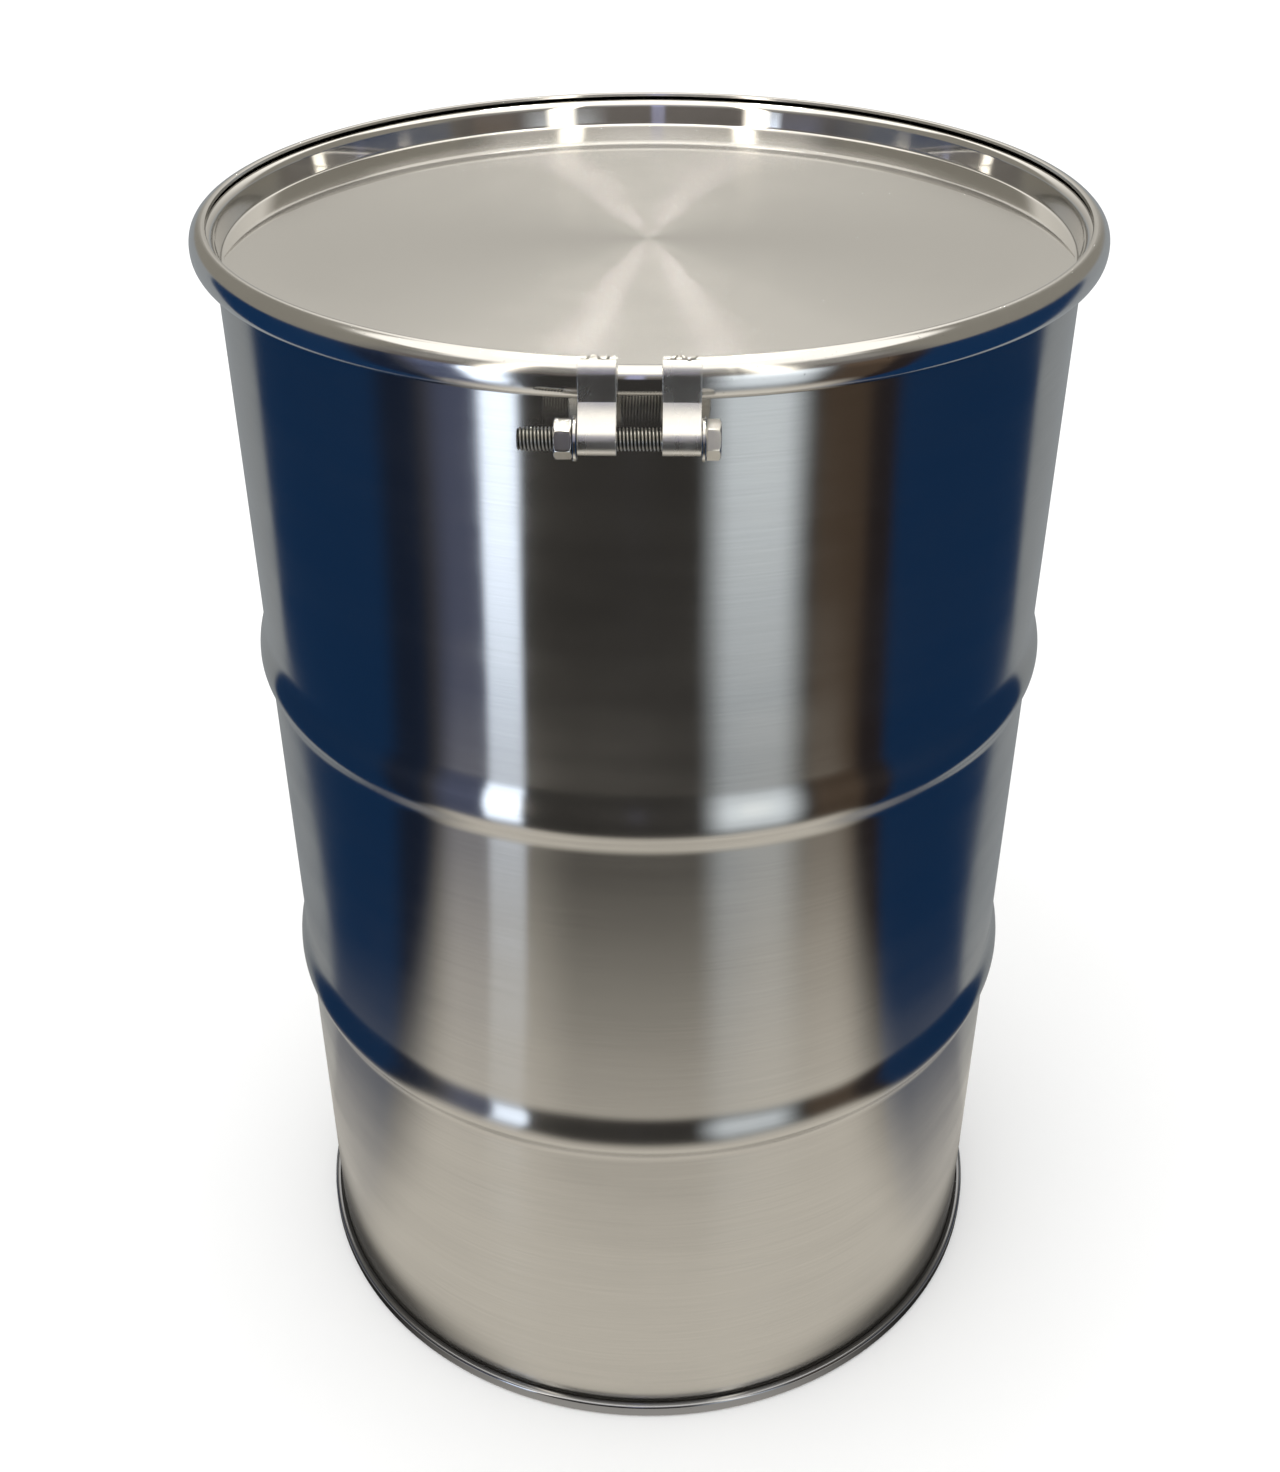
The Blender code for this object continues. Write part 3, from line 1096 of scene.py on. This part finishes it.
@dataclass(frozen=True)
class ClosureRing:
    """Split channel band over the lid's rim, with a bent strap lug welded to each end."""

    outside: float = 301.5
    top: float = 900.0
    lip: float = 290.4
    hook: float = 292.0
    band: float = 2.0
    bead_height: float = 884.0
    foot: float = 876.0
    depth: float = 12.0            # how far the channel stands out from its lips
    roundness: float = 0.87        # 1 for a half-round channel, less for a squarer one
    opening: float = 24.4
    lug_width: float = 20.5
    loop_radius: float = 7.8
    weld_recess: float = 0.9       # how far the strap's top is pressed down under its weld
    gap: float = 0.3
    strap_end: float = 293.0       # where the strap ends on top of the ring
    shoulder_bend: float = 9.2
    weld_place: Point = (295.8, 901.0)
    weld_swing: float = 1.9        # how far the weld's bead winds in and out
    weld_height: float = 1.28      # how far it may stand up
    ripple_depth: float = 0.04
    dent_depth: float = 0.5
    dent_share: float = 0.42       # noise above this makes a dent
    segments: int = 400            # sections of each half

    def section(self) -> list[Point]:
        """Mid-line of the ring's rounded channel, from its top lip round to its bottom hook."""
        half = self.band / 2
        middle, reach = self.outside - self.depth, self.depth - half
        height = (self.top + self.foot) / 2
        tall = (self.top - self.foot) / 2 - half
        path = [(self.lip, self.top - half - 1.75), (self.lip + 0.5, self.top - half - 0.5)]
        for degrees in range(80, -78, -4):
            side, rise = math.cos(math.radians(degrees)), math.sin(math.radians(degrees))
            path.append((middle + reach * abs(side) ** self.roundness,
                         height + tall * math.copysign(abs(rise) ** self.roundness, rise)))
        return path + [(self.hook, self.foot + half)]

    def dinged(self, angle: float, radius: float, height: float) -> Point:
        """Small dents and rolling waves in the band's outer face.

        Args:
            angle: Angle round the drum.
            radius: The even radius.
            height: The height.

        Returns:
            The radius and height there.
        """
        east, north = math.cos(angle), math.sin(angle)
        ripple = noise.noise(Vector((east * 14, north * 14, height / 9)))
        knock = max(0.0, noise.noise(Vector((east * 34, north * 34, height / 14 + 4))) - self.dent_share)
        return radius - self.ripple_depth * (ripple + 1) - self.dent_depth * knock, height

    def make_half(self, side: Side) -> bpy.types.Object:
        """One half of the ring, from its end at the front to the middle of the back.

        Args:
            side: Which half.

        Returns:
            The half ring.
        """
        outline = round_corners(thicken(self.section(), self.band / 2), 0.35)
        cut = math.asin(self.opening / 2 / self.outside)
        start = math.pi / 2 if side is Side.LEFT else -math.pi / 2 + cut
        angles = even_angles(start, math.pi - cut, self.segments)
        return sweep(f"closure_ring_{side.name.lower()}", outline, angles, self.dinged)

    def strap(self) -> list[Point]:
        """Outline of a lug: over the ring, down its face and round the bolt."""
        half, bend = self.band / 2, self.shoulder_bend
        front = self.outside + self.gap + half
        shoulder = self.top + self.gap + half
        bolt = (AXIS_Y / MM - BOLT_AXIS.y / MM, BOLT_AXIS.z / MM)
        crease = (front, self.bead_height - 5.5)
        heel = (self.outside - half - 2.1, self.bead_height - 9.3)
        path = [(self.strap_end, shoulder)] + arc((front - bend, shoulder - bend), bend, 90, 0, 18)
        path += [(front, crease[1] + 1.2), (front + 0.25, crease[1] + 0.2)]
        path += arc(bolt, self.loop_radius, tangent_angle(crease, bolt, self.loop_radius, -1),
                    tangent_angle(heel, bolt, self.loop_radius, 1) - 360, 40)
        return round_corners(thicken(path + [heel], half), 0.4)

    def make_lug(self, side: Side) -> bpy.types.Object:
        """The bent strap at one end of the ring.

        Args:
            side: Which end.

        Returns:
            The lug.
        """
        near, far = self.opening / 2, self.opening / 2 + self.lug_width
        half = self.band / 2
        outline = self.strap()
        steps = 12
        sections = []
        for i in range(steps + 1):
            x = side.value * (near + (far - near) * i / steps)
            section = []
            for out, height in outline:
                pull = 0.05 * noise.noise(Vector((x / 6, out / 7, height / 7)))
                on_top = height > self.top + self.gap + half
                pressed = self.weld_recess * min(1.0, max(0.0, (299.5 - out) / 2.5)) if on_top else 0.0
                section.append((x * MM, AXIS_Y - (out + pull) * MM, (height - pressed) * MM))
            sections.append(section)
        lug = loft(f"closure_lug_{side.name.lower()}", sections)
        ease_edges(lug, 0.35)
        return lug

    def make_weld(self, side: Side) -> bpy.types.Object:
        """The lumpy weld along a lug's upper edge.

        Args:
            side: Which end.

        Returns:
            The weld.
        """
        near, far = self.opening / 2 + 2.2, self.opening / 2 + self.lug_width - 2.0
        steps, around = 64, 16
        sections = []
        for i in range(steps + 1):
            t = i / steps
            x = side.value * (near + (far - near) * t)
            lump = abs(math.sin(t * math.pi * 4.6 + side.value)) * 0.45
            lump += 0.25 * noise.noise(Vector((x * 0.9, 3.1, 0.4)))
            size = (0.75 + lump) * math.sin(math.pi * min(1.0, max(0.0, t * 0.94 + 0.03))) ** 0.25
            section = []
            for k in range(around):
                a = 2 * math.pi * k / around
                rough = 1 + 0.16 * noise.noise(Vector((x * 1.6, math.cos(a) * 1.5, math.sin(a) * 1.5)))
                wound = self.weld_swing * math.sin(t * 9.5 + side.value)
                out = self.weld_place[0] + wound + size * 1.5 * rough * math.cos(a)
                height = self.weld_place[1] + min(self.weld_height, size * 1.15 * rough * math.sin(a))
                section.append((x * MM, AXIS_Y - out * MM, height * MM))
            sections.append(section)
        return loft(f"lug_weld_{side.name.lower()}", sections)

    def build(self) -> None:
        """Make the ring's halves and dress them, and make and fit its lugs and their welds."""
        for side in Side:
            end = f"{side.name.lower()}_end"
            half = self.make_half(side)
            half.data.materials.append(RING_STEEL.material())
            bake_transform(half)
            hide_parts("closure_ring")
            log.info("%s bends from the ring's back to %s", half.name, end)
            fit(self.make_lug(side), LUG_STEEL, end, [f"lug_{side.name.lower()}"])
            fit(self.make_weld(side), WELD_STEEL, end)


@dataclass(frozen=True)
class Fasteners:
    """Hexagon bolt with a rolled thread, its nut and two washers."""

    radius: float = 6.35
    pitch: float = 25.4 / 13
    depth: float = 1.15
    length: float = 100.0
    flats: float = 19.05
    head_height: float = 7.9
    nut_height: float = 10.0
    washer_radius: float = 12.0
    washer_thickness: float = 2.0
    lug_face: float = 32.7
    gap: float = 0.3
    shank: float = 16.0            # plain part below the head
    hexagon_points: int = 96
    chamfer: float = 1.1           # how far the hexagon's chamfer reaches along the bolt
    chamfer_steps: int = 7
    face_share: float = 0.93       # radius of a chamfered face, to half the flats
    washer_face: float = 0.4       # height of the round face below the head
    countersink: float = 0.9
    points: int = 48               # round the shaft
    run_in: float = 0.8            # how far the thread takes to begin at the tip
    run_out: float = 3.0           # and to end at the plain part
    head_turn: float = 8.0         # degrees
    nut_turn: float = 15.0         # degrees

    @property
    def head_face(self) -> float:
        """Where the head's underside stands along X."""
        return self.lug_face + self.washer_thickness + 2 * self.gap

    def circles(self, places: Sequence[Point]) -> list[list[Vector]]:
        """Round sections, each given by its place along the bolt and its radius."""
        return [self.ring_at(x, lambda a, radius=radius: radius, self.hexagon_points) for x, radius in places]

    def ring_at(self, x: float, radius_at: Callable[[float], float], count: int) -> list[Vector]:
        """A loop of points round the bolt's axis.

        Args:
            x: Where it stands along the bolt.
            radius_at: Gives the radius at an angle.
            count: Number of points.

        Returns:
            The points.
        """
        loop = []
        for i in range(count):
            a = 2 * math.pi * i / count
            radius = radius_at(a)
            loop.append(Vector((x, radius * math.cos(a), radius * math.sin(a))) * MM)
        return loop

    def place(self, piece: bpy.types.Object, turn: float = 0.0) -> bpy.types.Object:
        """Put a piece made round the bolt's axis where the bolt is.

        Args:
            piece: The piece.
            turn: How far it is turned about the axis, in degrees.

        Returns:
            The same piece.
        """
        piece.data.transform(Matrix.Translation((0, BOLT_AXIS.y, BOLT_AXIS.z))
                             @ Matrix.Rotation(math.radians(turn), 4, "X"))
        return piece

    def hexagon(self, cone: float) -> Callable[[float], float]:
        """Radius of a hexagon whose corners a cone has cut back.

        Args:
            cone: Radius of the cone there.

        Returns:
            A function from an angle to a radius.
        """
        sector = math.pi / 3
        return lambda a: min(cone, self.flats / 2 / math.cos(a % sector - sector / 2))

    def hexagon_sections(self, start: float, end: float, both: bool) -> list[list[Vector]]:
        """Sections of a hexagonal prism with chamfered corners.

        Args:
            start: Where it begins along the bolt.
            end: Where it ends, which is chamfered.
            both: True if the start is chamfered too.

        Returns:
            The sections.
        """
        corner = self.flats / 2 / math.cos(math.pi / 6)
        face = self.flats / 2 * self.face_share
        sign = 1 if end > start else -1
        chamfer = [(self.chamfer * t, face + (corner - face) * t ** 0.8)
                   for t in (k / self.chamfer_steps for k in range(self.chamfer_steps + 1))]
        places = [(start + sign * depth, cone) for depth, cone in chamfer] if both else [(start, corner)]
        places += [(end - sign * depth, cone) for depth, cone in reversed(chamfer)]
        return [self.ring_at(x, self.hexagon(cone), self.hexagon_points) for x, cone in places]

    def thread(self, x: float, tip: float, plain: float) -> Callable[[float], float]:
        """Radius of the thread at one place along the bolt.

        Args:
            x: The place.
            tip: Where the bolt ends.
            plain: Where its plain shank begins.

        Returns:
            A function from an angle to a radius.
        """
        run_in = min(1.0, (x - tip) / self.run_in)
        run_out = min(1.0, max(0.0, (plain - x) / self.run_out))

        def radius_at(angle: float) -> float:
            """Radius at an angle, lower where the helix has its root."""
            phase = (x / self.pitch - angle / (2 * math.pi)) % 1.0
            flank = min(1.0, max(0.0, (abs(phase - 0.5) * 2 - 0.1) / 0.78))
            crest = self.radius - self.depth * (1 - run_in)
            return min(self.radius - self.depth * flank * run_out, crest)

        return radius_at

    def make_bolt(self) -> bpy.types.Object:
        """The bolt, with its thread as a real helix."""
        tip = self.head_face - self.length
        plain = self.head_face - self.shank
        step = self.pitch / 10
        sections = [self.ring_at(tip, lambda a: self.radius - self.depth - 0.2, self.points)]
        for i in range(int((plain - tip) / step) + 1):
            x = tip + i * step
            sections.append(self.ring_at(x, self.thread(x, tip, plain), self.points))
        sections += [self.ring_at(x, lambda a: self.radius, self.points)
                     for x in (self.head_face - 0.4, self.head_face + 1.0)]
        shaft = loft("bolt_shaft", sections)
        under, top = self.head_face + self.washer_face, self.head_face + self.head_height
        half = self.flats / 2
        head = loft("bolt_head", self.circles([(self.head_face, half * 0.94), (under, half * 0.94)])
                    + self.hexagon_sections(under, top, False)
                    + self.circles([(top, half * 0.90), (top - 0.15, half * 0.84)]))
        ease_edges(head, 0.22, sharper_than=40)
        bm = bmesh.new()
        bm.from_mesh(shaft.data)
        bm.from_mesh(head.data)
        bm.to_mesh(shaft.data)
        bm.free()
        bpy.data.objects.remove(head)
        shaft.name = "closure_bolt_threaded"
        shaft.data.shade_smooth()
        shaft.data.set_sharp_from_angle(angle=SMOOTH_LIMIT)
        return self.place(shaft, turn=self.head_turn)

    def make_nut(self) -> bpy.types.Object:
        """The nut, chamfered on both faces."""
        inner = -self.head_face
        outer = inner - self.nut_height
        bore, sink = self.radius + 0.1, self.countersink
        sections = self.hexagon_sections(inner, outer, True)
        sections += self.circles([(outer, self.flats / 2 * 0.90), (outer, bore + sink), (outer + sink, bore),
                                  (inner - sink, bore), (inner, bore + sink)])
        nut = loft("closure_nut_hex", sections, capped=False)
        ease_edges(nut, 0.2, sharper_than=45)
        return self.place(nut, turn=self.nut_turn)

    def make_washer(self, name: str, start: float) -> bpy.types.Object:
        """A flat washer with eased edges.

        Args:
            name: Name of the piece.
            start: Its lower X.

        Returns:
            The washer.
        """
        end = start + self.washer_thickness
        bore, ease = self.radius + 0.35, 0.35
        shape = [(start, self.washer_radius - ease), (start + ease, self.washer_radius),
                 (end - ease, self.washer_radius), (end, self.washer_radius - ease), (end, bore + ease),
                 (end - ease, bore), (start + ease, bore), (start, bore + ease)]
        return self.place(loft(name, self.circles(shape), capped=False))

    def build(self) -> None:
        """Make and fit the bolt, its washers and its nut."""
        near = self.lug_face + self.gap
        fit(self.make_bolt(), THREAD_STEEL, "bolt", ["closure_bolt"])
        fit(self.make_washer("bolt_head_washer", near), BOLT_STEEL, "bolt", ["bolt_washer"])
        fit(self.make_washer("nut_side_washer", -near - self.washer_thickness), BOLT_STEEL, "nut_washer",
            ["nut_washer"])
        fit(self.make_nut(), BOLT_STEEL, "nut", ["closure_nut"])


# ---------------------------------------------------------------- the studio

@dataclass(frozen=True)
class Panel:
    """One soft-edged panel of the surroundings that the steel mirrors, as seen from the drum."""

    azimuth: float                 # degrees from the front, to the right
    half_width: float
    softness: float
    colour: Colour
    near_gain: float = 1.0         # brightness close to the drum, against its full brightness


@dataclass(frozen=True)
class CeilingLight:
    """A soft lamp in the upper part of the tent."""

    azimuth: float                 # degrees from the front, to the right
    height: float
    half_width: float              # degrees
    half_height: float
    glow: Colour


@dataclass(frozen=True)
class Studio:
    """Pale floor, soft light, and a tent of panels that only mirror-like surfaces see."""

    floor_radius: float = 12.0
    tent_radius: float = 2.3
    tent_top: float = 3.6
    tent_spring: float = 2.0       # where its wall bends in to the top
    eye: tuple[float, float, float] = (0.0, -1.1542, 1.2306)
    orbit: float = 0.9             # degrees round the drum's axis
    pitch: float = 33.42
    yaw: float = -0.34
    roll: float = -0.16
    lens: float = 42.02
    daylight: float = 1.2
    key_energy: float = 12.0
    key_size: float = 2.2
    key_place: tuple[float, float, float] = (-0.9, -1.0, 2.9)
    key_aim: tuple[float, float, float] = (0.0, 0.0, 0.4)
    pale_floor: Colour = (0.74, 0.70, 0.625)
    shade: Colour = (0.036, 0.034, 0.032)          # the dark in front of the drum
    shade_high: Colour = (0.15, 0.135, 0.125)      # above it, at the drum's height and higher
    shade_top: Colour = (0.30, 0.29, 0.27)
    navy: Colour = (0.0085, 0.033, 0.094)          # at both sides
    back: Colour = (0.31, 0.33, 0.345)
    ceiling_low: Colour = (0.45, 0.43, 0.39)
    ceiling_high: Colour = (1.45, 1.40, 1.30)
    wing: Colour = (0.27, 0.255, 0.22)             # above the navy
    # Where each step between two colours begins and ends, in degrees from the front or in metres.
    navy_beside: Step = (54.0, 64.0)
    panel_radius: Step = (0.8, 2.2)
    panel_height: Step = (0.25, 0.9)
    panel_lift: float = 1.5                        # gain of the panels above it
    back_edge: float = 1.2                         # degrees
    back_radius: Step = (0.40, 1.35)
    back_beside: Step = (97.0, 119.0)
    pale_radius: Step = (0.37, 1.12)
    pale_front: Step = (15.0, 32.0)
    pale_side: Step = (48.0, 74.0)
    pale_shares: tuple[float, float] = (0.84, 2.05)    # what its reach is divided by past them
    foot_radius: Step = (0.30, 0.325)
    foot_beside: Step = (15.0, 50.0)
    upper_height: Step = (1.02, 1.25)
    upper_beside: Step = (50.0, 75.0)
    top_height: Step = (1.4, 2.0)
    ceiling_height: Step = (1.25, 3.1)
    ceiling_beside: Step = (125.0, 150.0)
    ceiling_start: Step = (2.55, 0.90)             # its lower edge, at the front and behind
    ceiling_rise: float = 0.5
    wing_front: Step = (52.0, 70.0)
    wing_behind: Step = (144.0, 156.0)
    wing_foot: Step = (1.0, 1.25)
    wing_top: Step = (2.95, 3.1)
    panels: tuple[Panel, ...] = (
        Panel(-63.0, 5.5, 4.0, (0.011, 0.018, 0.038)),
        Panel(51.0, 9.0, 3.0, (0.078, 0.055, 0.038)),
        Panel(59.5, 4.0, 2.5, (0.024, 0.019, 0.019)),
        Panel(-45.0, 8.0, 5.0, (0.085, 0.10, 0.165)),
        Panel(-35.0, 4.8, 1.3, (1.75, 1.98, 2.35), 0.25),
        Panel(27.0, 10.5, 5.0, (0.85, 0.93, 1.0), 0.33),
    )
    lamps: tuple[CeilingLight, ...] = (
        CeilingLight(160.0, 3.38, 1.8, 0.05, (110.0, 111.0, 106.0)),
        CeilingLight(-160.0, 3.38, 1.8, 0.05, (110.0, 111.0, 106.0)),
        CeilingLight(0.0, 3.6, 200.0, 0.10, (2.4, 2.35, 2.2)),
        CeilingLight(28.0, 2.05, 4.0, 0.95, (3.0, 2.85, 2.5)),
        CeilingLight(-32.5, 2.05, 3.6, 0.95, (3.2, 3.0, 2.65)),
        CeilingLight(-2.0, 1.95, 2.0, 0.75, (0.42, 0.43, 0.62)),
        CeilingLight(0.0, 2.45, 15.0, 0.12, (0.55, 0.55, 0.66)),
    )

    def make_floor(self) -> None:
        """The pale floor, which the steel mirrors only through the tent."""
        edge = self.floor_radius / MM
        outline = [(0.0, 0.0), (400.0, 0.0), (1500.0, 0.0), (edge, 0.0), (edge, -20.0), (0.0, -20.0)]
        floor = sweep("studio_floor", outline, even_angles(0, 2 * math.pi, 96))
        floor.data.materials.append(PAPER.material())
        floor.visible_glossy = False

    def tent_colour(self, w: Wiring) -> Socket:
        """Colour of the tent at each point.

        Args:
            w: Wiring of the tent's material.

        Returns:
            The colour.
        """
        x, y, z = w.separate(w.node("TexCoord").outputs["Object"])
        ahead = w.minus(AXIS_Y, y)
        azimuth = w.times(w.math("ARCTAN2", x, ahead), 180 / math.pi)
        aside = w.math("ABSOLUTE", azimuth)
        radius = w.length(x, ahead)
        colour = w.blend(w.ramp(aside, *self.navy_beside), self.shade, self.navy)
        for panel in self.panels:
            share = w.fall(w.apart(azimuth, panel.azimuth), panel.half_width - panel.softness,
                           panel.half_width + panel.softness)
            gain = w.times(w.ramp(radius, *self.panel_radius, panel.near_gain, 1.0),
                           w.ramp(z, *self.panel_height, 1.0, self.panel_lift))
            colour = w.blend(share, colour, w.grown(panel.colour, gain))
        edge = w.ramp(radius, *self.back_radius, *self.back_beside)
        behind = w.ramp(w.minus(aside, edge), -self.back_edge, self.back_edge)
        colour = w.blend(behind, colour, self.back)
        wider, narrower = self.pale_shares
        side = w.times(w.ramp(aside, *self.pale_front, 1.0, wider),
                       w.ramp(aside, *self.pale_side, 1.0, narrower))
        colour = w.blend(w.fall(w.times(radius, side), *self.pale_radius), colour, self.pale_floor)
        foot = w.times(w.fall(radius, *self.foot_radius), w.ramp(aside, *self.foot_beside))
        colour = w.blend(foot, colour, self.shade)
        upper = w.times(w.ramp(z, *self.upper_height), w.fall(aside, *self.upper_beside))
        shade = w.blend(w.ramp(z, *self.top_height), self.shade_high, self.shade_top)
        colour = w.blend(upper, colour, shade)
        start = w.ramp(aside, *self.ceiling_beside, *self.ceiling_start)
        ceiling = w.blend(w.ramp(z, *self.ceiling_height), self.ceiling_low, self.ceiling_high)
        colour = w.blend(w.ramp(w.minus(z, start), 0.0, self.ceiling_rise), colour, ceiling)
        beside = w.times(w.ramp(aside, *self.wing_front), w.fall(aside, *self.wing_behind))
        level = w.times(w.ramp(z, *self.wing_foot), w.fall(z, *self.wing_top))
        colour = w.blend(w.times(beside, level), colour, self.wing)
        for lamp in self.lamps:
            shares = [w.fall(w.apart(value, place), half * 0.6, half * 1.4) for value, place, half in
                      ((azimuth, lamp.azimuth, lamp.half_width), (z, lamp.height, lamp.half_height))]
            colour = w.blend(w.times(*shares), colour, lamp.glow)
        return colour

    def make_tent(self) -> None:
        """The closed tent of panels, seen only in reflections."""
        wide, high, spring = (value / MM for value in (self.tent_radius, self.tent_top, self.tent_spring))
        path = refine([(0.0, -1.0), (wide, -1.0), (wide, spring)], 250.0)
        for angle in (math.radians(degrees) for degrees in range(10, 90, 10)):
            path.append((wide * math.cos(angle), spring + (high - spring) * math.sin(angle)))
        path.append((0.0, high))
        tent = sweep("studio_tent", path, even_angles(0, 2 * math.pi, 96))
        made = bpy.data.materials.new("Studio tent")
        made.use_nodes = True
        nodes = made.node_tree.nodes
        nodes.remove(nodes["Principled BSDF"])
        w = Wiring(made.node_tree)
        glow = w.node("Emission")
        w.feed(glow.inputs["Color"], self.tent_colour(w))
        w.feed(nodes["Material Output"].inputs["Surface"], glow.outputs[0])
        made.cycles.emission_sampling = "NONE"
        tent.data.materials.append(made)
        for ray in ("camera", "diffuse", "shadow", "transmission", "volume_scatter"):
            setattr(tent, f"visible_{ray}", False)

    def make_light(self) -> None:
        """Even daylight from all round and one wide soft light above."""
        world = bpy.data.worlds.new("Studio daylight")
        world.use_nodes = True
        background = world.node_tree.nodes["Background"]
        background.inputs["Color"].default_value = (1.0, 1.0, 1.0, 1.0)
        background.inputs["Strength"].default_value = self.daylight
        bpy.context.scene.world = world
        data = bpy.data.lights.new("soft_key", "AREA")
        data.shape, data.size, data.energy = "DISK", self.key_size, self.key_energy
        light = bpy.data.objects.new("soft_key", data)
        light.location = self.key_place
        light.rotation_euler = (Vector(self.key_aim) - light.location).to_track_quat("-Z", "Y").to_euler()
        light.visible_glossy = False
        bpy.context.scene.collection.objects.link(light)

    def make_camera(self) -> None:
        """The camera, above and in front of the drum."""
        pitch, yaw, roll = (math.radians(a) for a in (self.pitch, self.yaw, self.roll))
        ahead = Vector((math.sin(yaw) * math.cos(pitch), math.cos(yaw) * math.cos(pitch), -math.sin(pitch)))
        level = Vector((math.cos(yaw), -math.sin(yaw), 0.0))
        up = level.cross(ahead)
        right = math.cos(roll) * level + math.sin(roll) * up
        above = math.cos(roll) * up - math.sin(roll) * level
        turn = Matrix((right, above, -ahead)).transposed().to_4x4()
        data = bpy.data.cameras.new("studio_camera")
        data.lens = self.lens
        camera = bpy.data.objects.new("studio_camera", data)
        bpy.context.scene.collection.objects.link(camera)
        camera.matrix_world = (Matrix.Translation((0, AXIS_Y, 0))
                               @ Matrix.Rotation(math.radians(self.orbit), 4, "Z")
                               @ Matrix.Translation(self.eye) @ turn)
        bpy.context.scene.camera = camera

    def build(self) -> None:
        """Make the floor, the tent, the lights and the camera."""
        self.make_floor()
        self.make_tent()
        self.make_light()
        self.make_camera()
        bpy.context.scene.view_settings.view_transform = "Standard"
        log.info("studio ready")


def corners(box: tuple[Vector, Vector]) -> list[list[float]]:
    """A box's two corners as plain lists."""
    return [list(corner) for corner in box]


def main() -> None:
    """Build the drum's pieces and the studio."""
    logging.basicConfig(level=logging.INFO, format="%(name)s: %(message)s")
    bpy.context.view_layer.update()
    for assembly in (DrumBody(), DrumLid(), ClosureRing(), Fasteners(), Studio()):
        assembly.build()


if __name__ == "__main__":
    main()
